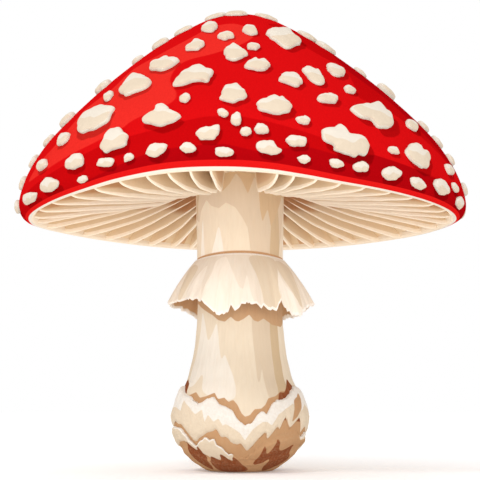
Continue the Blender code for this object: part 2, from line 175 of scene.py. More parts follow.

# Painted shade on the stem by azimuth and height. Lines first: the gills' brown shadow above the first,
# shade above the second.
GILL_SHADOW = (
    (-180, 78), (-160, 82), (-140, 76), (-118, 81), (-95, 79), (-80, 81), (-62, 80), (-40, 80),
    (-22, 80), (-13, 82), (-5, 85), (2, 83), (10, 79), (15, 82), (18, 84), (24, 82), (26, 75), (30, 71),
    (38, 75), (44, 70), (55, 74), (70, 80), (90, 77), (110, 82), (135, 77), (160, 82), (180, 78),
)
UPPER_SHADE = (
    (-180, 70), (-150, 76), (-120, 68), (-90, 74), (-67, 72), (-62, 75), (-48, 78), (-40, 76),
    (-28, 75), (-18, 76.5), (-6, 75), (3, 72), (10, 69), (14, 62), (18, 50), (50, 50), (62, 62),
    (80, 77), (110, 70), (140, 76), (180, 70),
)
# Painted shadow of the ring's hem on the stem: below the ring and above this line.
RING_SHADOW = (
    (-180, 43), (-150, 45), (-120, 42), (-90, 46), (-76, 48), (-38, 44), (-30, 42.6), (-20, 42),
    (-12, 43.4), (-6, 42.2), (-2, 42), (5, 42.8), (12, 44), (18, 42.4), (24, 42), (32, 43), (46, 41.4),
    (68, 41), (95, 44), (120, 42), (150, 44), (180, 43),
)
# Outlines of painted light on the stem's lit side, then of painted shade and deeper painted shade.
HIGHLIGHT_FLAMES = (
    ((-64, 60), (-60, 68), (-57, 72.5), (-55, 67), (-54, 60)),
    ((-41, 60), (-34, 66), (-29, 69.5), (-25, 67), (-22, 60)),
    ((-60, 45), (-51, 41), (-44, 37), (-37, 39), (-32, 41.5), (-28, 38), (-26, 35), (-22, 31.5),
     (-18, 32.5), (-13, 30), (-8, 27), (-4, 23), (-8, 20), (-36, 22), (-45, 27), (-55, 24), (-64, 24),
     (-70, 27), (-64, 36)),
)
SHADE_FLAMES = (
    ((17, 46), (18, 30), (19, 25), (22, 26), (25, 28.5), (28, 20), (44, 18), (45, 46)),
    ((-82, 60), (-84, 50), (-86, 30), (-92, 22), (-100, 36), (-98, 56)),
)
DEEP_SHADE_FLAMES = (
    ((-82, 83), (-76, 73), (-71, 77), (-64, 83)),
    ((44, 46), (41, 30), (40, 24), (38, 19), (52, 20), (55, 28), (58, 46)),
    ((44, 60), (44, 69), (46, 72), (50, 76), (56, 77), (62, 70), (62, 60)),
)
BACK_FLAMES = 9

# Ring: radius and height of the skirt down to its hem, and the hem's height by azimuth.
RING_OUTLINE = ((13.2, 61.6), (15.2, 58.8), (17.2, 55.6), (19.1, 52.2))
RING_SIDE_DROP = 0.9
RING_END = (21.2, 48)
RING_HEM = (
    (-90, 48.6), (-64, 47.6), (-52, 48), (-40, 48), (-33, 47.6), (-30.5, 46.6), (-29, 47.4),
    (-27, 46.4), (-16, 43.2), (-10, 43.8), (-7, 45.8), (-3, 44.2), (1, 46), (6, 46.6), (12, 45.8),
    (16, 44.8), (18, 46), (23, 44.8), (30, 44.8), (34, 47.8), (36.5, 45.6), (44, 43.6), (51.5, 43.4),
    (58, 45), (70, 46.6), (90, 48.4), (120, 46), (150, 44.6), (180, 47.4), (215, 44.8), (240, 47.6),
    (270, 48.6),
)
RING_COLUMNS = 360
RING_ROWS = 36
RING_THICKNESS = 0.8
# The skirt's length down to its hem, for the outlines drawn on it, and for its pale borders.
RING_LENGTH = 17
BORDER_LENGTH = 18
RING_PLEATS = 9
RING_PLEAT_DEPTH = 0.7
# Outlines of the ring's painted light and painted shade, as azimuth and share of the way to the hem.
RING_HIGHLIGHTS = (
    ((-17, 0.1), (-26, 0.2), (-27, 0.5), (-30, 0.9), (-26, 1.2), (9, 1.2), (8, 0.8), (6, 0.55),
     (2, 0.8), (-5, 0.55), (-13, 0.2)),
    ((-36, 0.3), (-46, 0.65), (-51, 1.1), (-31, 1.1), (-33, 0.7)),
    ((39, 0.32), (34, 0.8), (34, 1.1), (60, 1.1), (52, 0.85), (42, 0.6)),
)
RING_SHADE = (
    ((11, 0.1), (16, 0.6), (18, 0.85), (20, 1.1), (33, 1.1), (34, 0.8), (36, 0.6), (42, 0.1)),
    ((46, 0.12), (41, 0.34), (48, 0.72), (58, 0.95), (62, 0.6), (64, 0.25)),
    ((-66, 0.2), (-62, 0.7), (-56, 1), (-52, 0.7), (-50, 0.3)),
)

# Bulb: the outline of the torn scales as height and radius, and the edges of their rows by azimuth.
SCALE_ROWS = 15
BULB_OUTLINE = (
    (1.2, 11.7), (2.9, 13.9), (4.7, 15.9), (6.5, 17.5), (8.3, 18.7), (11.8, 19.7), (15.4, 20),
    (18.9, 19.1), (22.5, 17.7), (26, 15.9), (29.6, 14.8),
)
# Below this line the stem is brown: over the scales' free edges it shows as painted shade of the gap behind
# them.
BROWN_BAND_TOP = (
    (-100, 24), (-76, 26), (-66, 24.6), (-60, 21), (-52, 21.6), (-46, 22.2), (-39, 20.6), (-32, 21),
    (-24, 22), (-20, 20.2), (-14, 20.6), (-10, 19.4), (-6, 20), (-2, 18.6), (1, 16.4), (4, 15.4),
    (8, 15.8), (12, 17.4), (18, 17.6), (22, 18.6), (26, 20.4), (34, 21), (42, 22.4), (48, 22.4),
    (54, 24), (60, 26), (66, 24), (90, 24), (105, 21), (120, 24), (140, 20), (150, 22), (165, 19),
    (180, 23), (200, 19), (215, 21), (230, 24), (245, 21), (260, 24),
)
# Outlines where that brown band is dark brown.
DARK_BAND_PATCHES = (
    ((28, 15), (31, 19), (36, 20), (40, 22), (48, 22.4), (56, 27), (84, 27), (84, 15)),
    ((-90, 15), (-90, 27), (-64, 27), (-64, 15)),
)
SCALE_TOP = (
    (-100, 22.6), (-76, 24), (-66, 22.4), (-58, 21.4), (-51, 21), (-46, 20), (-37, 18.8), (-30, 20),
    (-24, 21), (-18, 18.8), (-13, 18.4), (-6, 17), (-3, 15), (4, 13), (10, 14), (16, 16.6), (18, 16.8),
    (22, 16.2), (28, 18.6), (34, 20), (40, 20), (48, 21), (57, 22.6), (66, 24), (90, 22.6), (105, 19.6),
    (120, 22.4), (140, 18.6), (150, 20.4), (165, 17.6), (180, 21.4), (200, 17.6), (215, 19.6),
    (230, 22.4), (245, 19.6), (260, 22.6),
)
# Above this line the scales are white, a painted highlight on their upper parts; below it they are cream.
HIGHLIGHT_FOOT = (
    (-100, 16), (-86, 18), (-69, 18), (-58, 17), (-56, 20), (-46, 18), (-38, 16), (-32, 17.4),
    (-29, 14), (-26, 16), (-21, 14), (-17, 15), (-14, 13), (-11, 13.4), (-4, 12), (0, 11), (4, 9),
    (10, 12), (18, 14), (22, 14), (26, 13), (32, 16), (43, 18), (50, 19), (62, 17), (75, 19), (90, 16),
    (108, 18), (125, 14), (142, 17), (160, 13), (178, 16), (196, 14), (214, 18), (236, 15), (260, 16),
)
SCALE_FOOT = (
    (-100, 11), (-86, 12.4), (-72, 14), (-58, 13), (-49, 10.4), (-43, 8.4), (-38, 9.6), (-33, 10),
    (-28, 11), (-20, 12), (-16, 10), (-12, 10), (-6, 8), (0, 8), (6, 6), (10, 7), (21, 11), (24, 9),
    (32, 12.6), (34, 11.8), (40, 15), (45, 12), (60, 15), (64, 11), (75, 12.6), (92, 9), (110, 12),
    (126, 8), (144, 11.6), (160, 7.6), (176, 11), (194, 8), (212, 12), (232, 8.6), (260, 11),
)
LOW_TOP = (
    (-100, 9.6), (-86, 11), (-72, 12.8), (-58, 11.8), (-49, 9.2), (-43, 7.4), (-36, 8.6), (-30, 9.8),
    (-26, 9), (-22, 9.6), (-21, 8), (-16, 7), (-13, 5.4), (-8, 5.2), (-3, 4.4), (6, 4.2), (20, 8),
    (40, 11), (58, 11.8), (64, 9.4), (75, 11), (92, 7.6), (110, 10), (126, 6.6), (144, 9.8), (160, 6.4),
    (176, 9.4), (194, 6.8), (212, 10), (232, 7), (260, 9.4),
)
LOW_FOOT = (
    (-100, 5), (-86, 7), (-72, 8), (-58, 8.6), (-52, 7.6), (-44, 5.6), (-36, 4.8), (-32, 3.8),
    (-22, 3.4), (-19, 4.6), (-13, 3.6), (-3, 3.2), (20, 3.6), (40, 5), (60, 7), (75, 8), (92, 5),
    (110, 6.6), (126, 4), (144, 6), (160, 4), (176, 6), (194, 4.4), (212, 6.6), (232, 4.6), (260, 6),
)
BROWN_PATCHES = (
    ((-6, 3.4), (-5, 6), (0, 8.2), (6, 6.2), (10, 7.2), (21, 11.2), (24, 9.4), (32, 12.6), (35, 12),
     (40, 15.2), (46, 12.4), (58, 15), (62, 9.4), (70, 9), (84, 10), (80, 5), (60, 1), (10, 0.4)),
    ((54, 20), (50, 17), (47, 14), (56, 16), (64, 18), (68, 22), (62, 21)),
)
DARK_PATCHES = (
    ((-54, 8.4), (-44, 6.2), (-40, 7.4), (-38, 4), (-44, 0.6), (-60, 3)),
    ((-32, 4.4), (-22, 3.4), (-19, 5.2), (-9, 3.2), (-7, 4.4), (2, 2.4), (10, 0.4), (-34, 0.4)),
    ((16, 2.4), (20, 5), (22, 7.4), (27, 5.2), (31, 7), (34, 9.4), (38, 6.6), (44, 6.2), (56, 7.6),
     (60, 5), (70, 3), (44, 0.4), (33, 1), (34, 3.6), (26, 2.6)),
    ((98, 6), (106, 4.6), (112, 8), (120, 5), (130, 7), (136, 3), (120, 0.6), (100, 1)),
    ((168, 5), (176, 8), (184, 5), (192, 6.6), (204, 3), (190, 0.6), (170, 1)),
    ((238, 4), (246, 7), (252, 5), (262, 8), (268, 4), (256, 0.6), (240, 1)),
)

# Small warts of the front: azimuth, distance down, length, width, and the length's turn from level.
SMALL_WARTS = (
    (-20, 28, 10, 5, -72), (-7, 37.5, 5.6, 4.6, 80), (5.5, 32.5, 8, 4.4, 95), (5, 45.5, 4.4, 3.4, 80),
    (-63, 39.5, 5, 4.4, 0), (-43.5, 65, 7.2, 3.2, -48), (34.5, 54.5, 8.6, 5.8, 42),
    (68, 44.5, 5, 4.4, 0), (32.5, 65, 5, 3.2, 44), (22.5, 71.5, 7.6, 4, 30), (-14, 75, 4.1, 2.9, -78),
    (-4.5, 82, 3.5, 2.6, -45), (-1.5, 84, 4.4, 3, 78), (0.5, 87.5, 3.2, 2.7, 16), (4, 86.5, 3.8, 3, 0),
    (13.5, 82, 3.8, 3, 16), (51, 74, 8.6, 3.8, 24), (67, 69.6, 5, 4.4, 0), (-50, 79.5, 7.8, 4.4, -20),
    (-70, 74, 5.4, 4.8, 0), (11.5, 88.5, 5.4, 3.4, 0), (70, 74.5, 4.8, 4.4, 0),
    (-11.5, 92, 4.3, 2.8, -4), (-4, 93, 5.2, 2.7, 2), (36, 85.5, 3.8, 2.5, 0),
    (-40.5, 89, 7.8, 4.2, -8), (-31, 92, 6.2, 2.6, -3), (-25, 92.2, 3.3, 2.2, 14),
    (-56, 85.5, 7.4, 3.9, -12), (-72, 80.4, 4.8, 4.4, 0), (12.8, 92.8, 3.4, 2.1, 12),
    (20, 92.3, 4.2, 2.5, -9), (26, 92, 5, 2.9, 4), (34, 92.2, 7, 3.5, 9), (60, 85.4, 6.4, 3.6, 8),
    (71, 80, 4.8, 4.4, 0), (-50, 92.5, 8.8, 3.8, -4), (-38, 94.3, 4.1, 2.1, 6),
    (-74, 86.2, 5.4, 4.4, 0), (-61, 93.4, 10.5, 3.4, 0), (42.5, 92.8, 6.3, 3, -10),
    (52, 92.1, 8.3, 4.4, -8), (60.5, 90.4, 5, 2.8, -8), (64.5, 93.8, 7.4, 3.2, -8),
    (75, 87.8, 5.4, 4, 0), (-78, 92.6, 5.4, 4, 0),
)
BACK_SMALL_WARTS = 62
BACK_FROM = 86
BACK_TO = 274
BACK_SPACING = 9
GOLDEN = 0.618034
THINNEST_WART = 0.7
THICKEST_SMALL_WART = 1.25
# A CAD wart's outline points stand less than this off the cap, and further than this from its middle.
FOOT_LIFT = 0.66
CENTRE_CLEAR = 1.2
SHADOW_SEARCH = 18
SEED = 7

# Surface colours, as a screen shows them.
RED_HIGHLIGHT = (250, 50, 42)
RED_MAIN = (231, 17, 20)
RED_MIDDLE = (209, 10, 14)
RED_DEEP = (187, 6, 14)
RED_MARGIN = (250, 30, 28)
WHITE = (253, 246, 236)
CREAM_BRIGHT = (251, 241, 226)
CREAM = (243, 226, 201)
CREAM_SHADE = (229, 208, 181)
CREAM_DEEP = (216, 189, 153)
TAN = (201, 157, 116)
PALE_TAN = (210, 169, 129)
STEM_SHADOW = (221, 190, 151)
BROWN = (204, 158, 116)
DARK_BROWN = (148, 82, 50)
# Shares by how brightly each place is lit: painted light sets the cap's shade lighter and lit places darker.
SKIN_SHARE = 0.7
WART_SHARE = 0.69
LIP_SHARE = 0.86
UNDER_SHARE = 1.03
GILL_SHARE = 1.12
TOP_SHARE = 1.3
FOOT_SHARE = 0.79


def spline(points, steps, closed=False):
    """Points along a smooth curve through the given ones, with the same number of steps in each span."""
    points = np.array(points, float)
    count = len(points)
    spans = count if closed else count - 1
    curve = []
    for i in range(spans):
        picks = [i - 1, i, i + 1, i + 2]
        if closed:
            picks = [pick % count for pick in picks]
        before, start, end, after = (points[min(max(pick, 0), count - 1)] for pick in picks)
        for t in np.arange(steps) / steps:
            bend = (2 * before - 5 * start + 4 * end - after) * t * t
            twist = (3 * start - before - 3 * end + after) * t ** 3
            curve.append(start + 0.5 * ((end - before) * t + bend + twist))
    if not closed:
        curve.append(points[-1])
    return np.array(curve)


def around(pairs, azimuth):
    """The value at an azimuth on the straight lines through (azimuth, value) pairs, round the full turn."""
    turns, values = zip(*pairs)
    return np.interp(azimuth, turns, values, period=360)


def between(pairs, x):
    places, values = zip(*pairs)
    return np.interp(x, places, values)


def turn_to(azimuth):
    """The horizontal direction of an azimuth."""
    angle = np.radians(azimuth)
    return np.stack([np.sin(angle), -np.cos(angle), 0 * angle], axis=-1)


def at(azimuth, radius, height):
    point = turn_to(azimuth) * np.asarray(radius)[..., None]
    point[..., 2] += height
    return point


def all_round(count):
    """Evenly spaced azimuths for the full turn."""
    return np.arange(count) * 360 / count


def wrap(azimuth):
    """The same azimuth between -180 and 180."""
    return (azimuth + 180) % 360 - 180


def there_and_back(values):
    """The values of a grid's rows, then the same for a second layer whose rows run the other way."""
    return np.concatenate([values, values[::-1]]).ravel()


EDGE_TURNS, EDGE_HEIGHTS = spline(EDGE_RISE, 6).T
CAP_RADII, CAP_HEIGHTS = spline(CAP_OUTLINE, 12).T
CAP_DOWN = np.concatenate([[0], np.cumsum(np.hypot(np.diff(CAP_RADII), np.diff(CAP_HEIGHTS)))])
CAP_LENGTH = CAP_DOWN[-1]


def cap_place(azimuth, radius, height):
    """A point of the cap or gills, moved with the cap's lean and the wave of its edge."""
    lean = LEAN * np.clip((radius - LEAN_START) / (LEAN_END - LEAN_START), 0, 1)
    fade = np.clip((radius - WAVE_START) / (WAVE_END - WAVE_START), 0, 1) ** 2
    rise = np.interp(azimuth, EDGE_TURNS, EDGE_HEIGHTS, period=360)
    point = at(azimuth, radius, height + fade * rise)
    point[..., 0] += lean
    return point


def cap_point(azimuth, down):
    return cap_place(azimuth, np.interp(down, CAP_DOWN, CAP_RADII), np.interp(down, CAP_DOWN, CAP_HEIGHTS))


def fade_in(value, start, end):
    """0 before start, 1 after end, smooth between."""
    share = np.clip((value - start) / (end - start), 0, 1)
    return share * share * (3 - 2 * share)


def polygon_depth(x, y, curve):
    """How far each place lies inside a closed line, in millimetres, and below 0 outside it."""
    nearest = np.full(x.shape, 1e9)
    inside = np.zeros(x.shape, bool)
    for (x0, y0), (x1, y1) in zip(curve, np.roll(curve, -1, axis=0)):
        run, rise = x1 - x0, y1 - y0
        share = np.clip(((x - x0) * run + (y - y0) * rise) / (run * run + rise * rise + 1e-12), 0, 1)
        nearest = np.minimum(nearest, np.hypot(x - x0 - share * run, y - y0 - share * rise))
        if y0 != y1:
            crossing = x0 + (y - y0) * run / rise
            inside ^= ((y0 > y) != (y1 > y)) & (x < crossing)
    return np.where(inside, nearest, -nearest)


def outline_depth(azimuth, along, radius, outline):
    """The depth inside a smooth outline of (azimuth, millimetre) points on a surface of a given radius."""
    curve = spline(outline, 5, closed=True)
    middle = curve[:, 0].mean()
    size = math.radians(1) * radius
    x = wrap(azimuth - middle) * size
    return polygon_depth(x, along, np.stack([(curve[:, 0] - middle) * size, curve[:, 1]], axis=1))


def deepest(azimuth, along, radius, outlines):
    """The depth inside whichever outline each place lies deepest in."""
    return np.max([outline_depth(azimuth, along, radius, outline) for outline in outlines], axis=0)


def rough(points, size, amount, seed=0):
    """Smooth random values at points, a hill or hollow about every size millimetres."""
    flat = points.reshape(-1, 3) / size + seed * 17.3
    values = [noise.noise(Vector(p)) for p in flat]
    return amount * np.array(values).reshape(points.shape[:-1])


def grid_faces(rows, columns, closed_rows=False, flip=False):
    """Four-sided faces of a grid whose columns close round. Its rows may close too."""
    row = np.arange(rows if closed_rows else rows - 1)[:, None]
    column = np.arange(columns)
    right = (column + 1) % columns
    below = (row + 1) % rows * columns
    corners = [row * columns + column, row * columns + right, below + right, below + column]
    return np.stack(corners[::-1] if flip else corners, axis=-1).reshape(-1, 4).tolist()


def fan_faces(centre, start, count, flip):
    """Triangles from a centre to a row of points that closes round."""
    faces = [(centre, start + i, start + (i + 1) % count) for i in range(count)]
    return [face[::-1] for face in faces] if flip else faces


def closed_faces(rows, columns, flip=False):
    """A grid's faces, and fans that close its first and last rows to two points after the grid's own."""
    size = rows * columns
    faces = grid_faces(rows, columns, flip=flip)
    faces += fan_faces(size, 0, columns, not flip)
    return faces + fan_faces(size + 1, size - columns, columns, flip)


def add_object(name, data):
    made = bpy.data.objects.new(name, data)
    bpy.context.scene.collection.objects.link(made)
    return made


def add_piece(name, points, faces, material, slot, replaced=(), fields=None):
    """Makes a piece from points in millimetres, with named values at its points for the materials."""
    mesh = bpy.data.meshes.new(name)
    mesh.from_pydata((np.asarray(points) * MM).tolist(), [], faces)
    mesh.update()
    for field, values in (fields or {}).items():
        values = np.asarray(values, np.float32)
        kind, entry = ("FLOAT_VECTOR", "vector") if values.ndim == 2 else ("FLOAT", "value")
        mesh.attributes.new(field, kind, "POINT").data.foreach_set(entry, values.ravel())
    mesh.shade_smooth()
    mesh.set_sharp_from_angle(angle=math.radians(SHARP_EDGE))
    mesh.materials.append(material)
    piece = add_object(name, mesh)
    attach(piece, BODY)
    if replaced:
        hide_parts(*replaced)


def linear(colour, share):
    """A screen colour as the surface's own linear colour, dimmed to a share for how brightly it is lit."""
    values = [channel / 255 for channel in colour]
    values = [v / 12.92 if v <= 0.04045 else ((v + 0.055) / 1.055) ** 2.4 for v in values]
    return (*(v * share for v in values), 1)


class Shades:
    """Builds one material: a base colour, then fields of other colours over it, then grain and bumps."""

    def __init__(self, name, base, roughness, share, specular=0.0):
        self.material = bpy.data.materials.new(name)
        self.material.use_nodes = True
        self.nodes = self.material.node_tree.nodes
        self.links = self.material.node_tree.links
        self.shader = self.nodes["Principled BSDF"]
        self.shader.inputs["Roughness"].default_value = roughness
        self.shader.inputs["Specular IOR Level"].default_value = specular
        self.colour = None
        self.share = share
        self.base = linear(base, share)

    def node(self, kind, **settings):
        made = self.nodes.new(kind)
        for setting, value in settings.items():
            setattr(made, setting, value)
        return made

    def field(self, name, output="Fac"):
        return self.node("ShaderNodeAttribute", attribute_name=name).outputs[output]

    def ramp(self, value, start, end, low=0.0, high=1.0):
        """The value, taken smoothly from low at start to high at end."""
        ramp = self.node("ShaderNodeMapRange", interpolation_type="SMOOTHSTEP")
        for socket, number in zip(("From Min", "From Max", "To Min", "To Max"), (start, end, low, high)):
            ramp.inputs[socket].default_value = number
        self.links.new(value, ramp.inputs["Value"])
        return ramp.outputs["Result"]

    def mix(self, share, colour, blend="MIX"):
        """Lays a colour, or a socket's colour, over what is there."""
        mix = self.node("ShaderNodeMix", data_type="RGBA", blend_type=blend)
        self.links.new(share, mix.inputs["Factor"])
        for socket, value in zip(("A_Color", "B_Color"), (self.colour or self.base, colour)):
            target = next(s for s in mix.inputs if s.identifier == socket)
            if isinstance(value, tuple):
                target.default_value = value
            else:
                self.links.new(value, target)
        self.colour = next(s for s in mix.outputs if s.identifier == "Result_Color")

    def lay(self, field, colour, start=-0.12, end=0.12, share=None):
        """Lays a colour where a field is above 0, with a narrow soft edge."""
        self.mix(self.ramp(self.field(field), start, end), linear(colour, share or self.share))

    def multiply(self, field, share):
        """Darkens to a share where a field is above 0."""
        self.mix(self.ramp(self.field(field), -0.25, 0.25), (share, share, share, 1), "MULTIPLY")

    def dim(self, field, share):
        """Darkens evenly from no change where a field is 0 to a share where it is 1."""
        self.mix(self.field(field), (share, share, share, 1), "MULTIPLY")

    def noise(self, scale, detail):
        texture = self.node("ShaderNodeTexNoise")
        texture.inputs["Scale"].default_value = scale
        texture.inputs["Detail"].default_value = detail
        self.links.new(self.field("grain", "Vector"), texture.inputs["Vector"])
        return texture.outputs["Fac"]

    def grain(self, scale, amount, dark, detail=3.0):
        """Darkens towards a colour where a noise is high, by at most the given amount."""
        share = self.ramp(self.noise(scale, detail), 0.35, 0.75, 0, amount)
        self.mix(share, linear(dark, self.share))

    def bump(self, scale, distance):
        bump = self.node("ShaderNodeBump")
        bump.inputs["Distance"].default_value = distance * MM
        bump.inputs["Strength"].default_value = 0.6
        self.links.new(self.noise(scale, 4.0), bump.inputs["Height"])
        self.links.new(bump.outputs["Normal"], self.shader.inputs["Normal"])

    def rough_noise(self, scale, low, high):
        roughness = self.ramp(self.noise(scale, 2.0), 0.3, 0.7, low, high)
        self.links.new(roughness, self.shader.inputs["Roughness"])

    def done(self):
        self.links.new(self.colour, self.shader.inputs["Base Color"])
        return self.material


def skin_material():
    shades = Shades("cap_skin", RED_MAIN, 0.35, SKIN_SHARE)
    # Painted highlight, painted shade at the sides, then the darker reds of painted shade towards the
    # margin.
    shades.lay("light", RED_HIGHLIGHT, -0.3, 0.3)
    shades.lay("dark", RED_MIDDLE, -0.3, 0.3)
    # Middle and deep reds: painted shade, darker towards the margin.
    shades.lay("middle", RED_MIDDLE, -0.25, 0.25)
    shades.lay("deep", RED_DEEP, -0.25, 0.25)
    shades.grain(5.0, 0.18, RED_DEEP, 4.0)
    shades.multiply("wart_shadow", 0.66)
    # The margin's brighter red: partly painted highlight where the edge turns, partly its own lighter red.
    shades.lay("margin", RED_MARGIN)
    shades.lay("lip", CREAM_BRIGHT, share=LIP_SHARE)
    # The lip's underside takes the under-cap share: painted light in the cap's shade.
    shades.lay("lip_inner", (248, 230, 206), share=UNDER_SHARE)
    shades.rough_noise(9.0, 0.3, 0.46)
    shades.bump(14.0, 0.12)
    return shades.done()


def wart_material():
    shades = Shades("wart", (251, 240, 224), 0.8, WART_SHARE)
    # Painted shade on each wart's lower part, below a wavy line; the upper part keeps the lit colour.
    shades.lay("hollow", (244, 225, 200), -0.06, 0.06)
    shades.lay("brim", (246, 243, 224), -0.05, 0.05)
    shades.grain(0.9, 0.1, CREAM_SHADE)
    shades.bump(1.2, 0.2)
    return shades.done()


def gill_material():
    shades = Shades("gill", TAN, 0.8, GILL_SHARE)
    # Lighter edges and faces low on a blade, tan above and brown near the stem: painted shade between the
    # blades.
    shades.lay("face", (224, 199, 165), -0.5, 0.5)
    shades.lay("inner", (188, 138, 97), -2.5, 2.5)
    shades.lay("edge", (244, 228, 206), -0.12, 0.12)
    shades.grain(0.7, 0.12, CREAM_DEEP)
    shades.bump(1.2, 0.1)
    return shades.done()


def stem_material():
    shades = Shades("stem", CREAM, 0.75, TOP_SHARE)
    # Painted light and shade: lighter flames, shade, deeper shade, and the painted shadows of the gills and
    # the ring.
    shades.lay("bright", CREAM_BRIGHT)
    shades.lay("shade", CREAM_SHADE)
    shades.lay("deep", CREAM_DEEP)
    shades.lay("shadow", STEM_SHADOW)
    shades.lay("painted_ring_shadow", PALE_TAN)
    # Brown band: painted shade behind the scales' free edges, and a thin brown line just above the ring's
    # collar.
    shades.lay("brown_band", BROWN)
    shades.lay("dark", DARK_BROWN)
    shades.grain(2.2, 0.12, CREAM_DEEP, 4.0)
    # Darker towards the foot, with the top set lighter in the cap's shade: painted light that evens out the
    # lamps.
    shades.dim("low", FOOT_SHARE / TOP_SHARE)
    shades.bump(3.0, 0.15)
    return shades.done()


def ring_material():
    shades = Shades("ring", (241, 229, 212), 0.75, UNDER_SHARE)
    # Painted light and shade on the skirt, its tan underside painted shade, then the white hem.
    shades.lay("bright", CREAM_BRIGHT)
    shades.lay("shade", (228, 211, 186))
    shades.lay("inside", PALE_TAN)
    shades.lay("hem", WHITE, -0.1, 0.1)
    shades.grain(2.0, 0.15, CREAM_DEEP, 4.0)
    shades.bump(2.6, 0.2)
    return shades.done()


def volva_material():
    shades = Shades("volva", (241, 222, 196), 0.85, FOOT_SHARE)
    # Painted highlight on the scales' upper parts.
    shades.lay("white", WHITE)
    shades.lay("brown", BROWN)
    shades.lay("dark", DARK_BROWN)
    shades.lay("brim", WHITE)
    shades.grain(1.6, 0.16, CREAM_DEEP)
    shades.bump(2.2, 0.3)
    return shades.done()


def with_ends(fields):
    """The fields of a grid as flat lists, with the means of its first and last rows for the end points."""
    flat = {}
    for name, values in fields.items():
        flat[name] = np.append(values.ravel(), [values[0].mean(), values[-1].mean()])
    return flat


def cap_grid():
    """The cap's closed surface: rows from the crown to the margin and the underside, then two ends."""
    columns = all_round(CAP_COLUMNS)
    azimuth, down = np.meshgrid(columns, np.append(np.arange(CAP_STEP, CAP_LENGTH, CAP_STEP), CAP_LENGTH))
    outer = cap_point(azimuth, down)
    inner = np.array([cap_place(columns, np.full(CAP_COLUMNS, r), h) for r, h in CAP_UNDERSIDE])
    rows = np.concatenate([outer, inner])
    azimuth = np.concatenate([azimuth, np.tile(columns, (len(inner), 1))])
    down = np.concatenate([down, np.full((len(inner), CAP_COLUMNS), CAP_LENGTH + 2)])
    ends = np.array([[0, 0, CAP_TOP], [0, 0, CAP_UNDERSIDE[-1][1]]])
    points = np.concatenate([rows.reshape(-1, 3), ends])
    return azimuth, down, points, closed_faces(len(rows), CAP_COLUMNS, flip=True)


def wart_shadows(points, warts):
    """How deep each place lies in the shadow of a wart, which falls to the lower right."""
    depth = np.full(len(points), -5.0)
    for centre, outward, ring, _ in warts:
        near = np.flatnonzero(np.linalg.norm(points - centre, axis=1) < SHADOW_SEARCH)
        axes = np.stack(slope_axes(outward)[::-1], axis=1)
        outline = (ring - centre) @ axes
        shift = 0.5 + 0.11 * np.ptp(outline[:, 0])
        x, y = ((points[near] - centre) @ axes).T
        depth[near] = np.maximum(depth[near], polygon_depth(x - 0.55 * shift, y + shift, outline))
    return depth


def make_cap(material, grid, warts):
    azimuth, down, points, faces = grid
    fields = {
        "light": deepest(azimuth, down, CAP_MIDDLE, HIGHLIGHT_AND_MOTTLE_FIELDS),
        "dark": deepest(azimuth, down, CAP_MIDDLE, SHADE_AND_MOTTLE_FIELDS),
        "middle": down - around(MIDDLE_SHADE_LINE, azimuth),
        "deep": np.maximum(
            down - around(DEEP_SHADE_LINE, azimuth), deepest(azimuth, down, CAP_MIDDLE, [DEEP_SHADE_FIELD])),
        "margin": down - around(MARGIN_BAND, azimuth),
        "lip": down - around(CREAM_LIP, azimuth),
        "lip_inner": down - around(CREAM_LIP, azimuth) - LIP_WIDTH,
    }
    flat = with_ends(fields)
    flat["wart_shadow"] = wart_shadows(points, warts)
    flat["grain"] = points * np.array([0.5, 0.5, 0.25])
    add_piece("cap_skin", points, faces, material, "cap_skin", ["cap"], flat)


def snap(surface, points):
    """Each point's nearest place on the cap, and the direction outward there."""
    found = [surface.find_nearest(Vector(point))[:2] for point in points.reshape(-1, 3)]
    places = np.array([tuple(place) for place, _ in found]).reshape(points.shape)
    outward = np.array([tuple(normal) for _, normal in found]).reshape(points.shape)
    return places, outward


def slope_axes(outward):
    """Directions on the cap at a place: up the slope, and level to the right as seen from outside."""
    uphill = np.array([0, 0, 1]) - outward * outward[2]
    uphill /= np.linalg.norm(uphill)
    return uphill, np.cross(uphill, outward)


# A wart from its foot to its top: the share of the outline's size and of the wart's thickness. Then the
# lumps on its top, the share of its outline inside the bright brim, and how deep it sits in the cap.
WART_PROFILE = (
    (0.96, -0.4), (0.965, 0.05), (0.96, 0.25), (0.935, 0.45), (0.89, 0.62), (0.81, 0.77), (0.69, 0.89),
    (0.5, 0.97), (0.32, 1), (0.15, 1),
)
LUMP_SIZE = 1.5
LUMP_HEIGHT = 0.14
BRIM_START = 0.92
WART_ROOT = 0.35


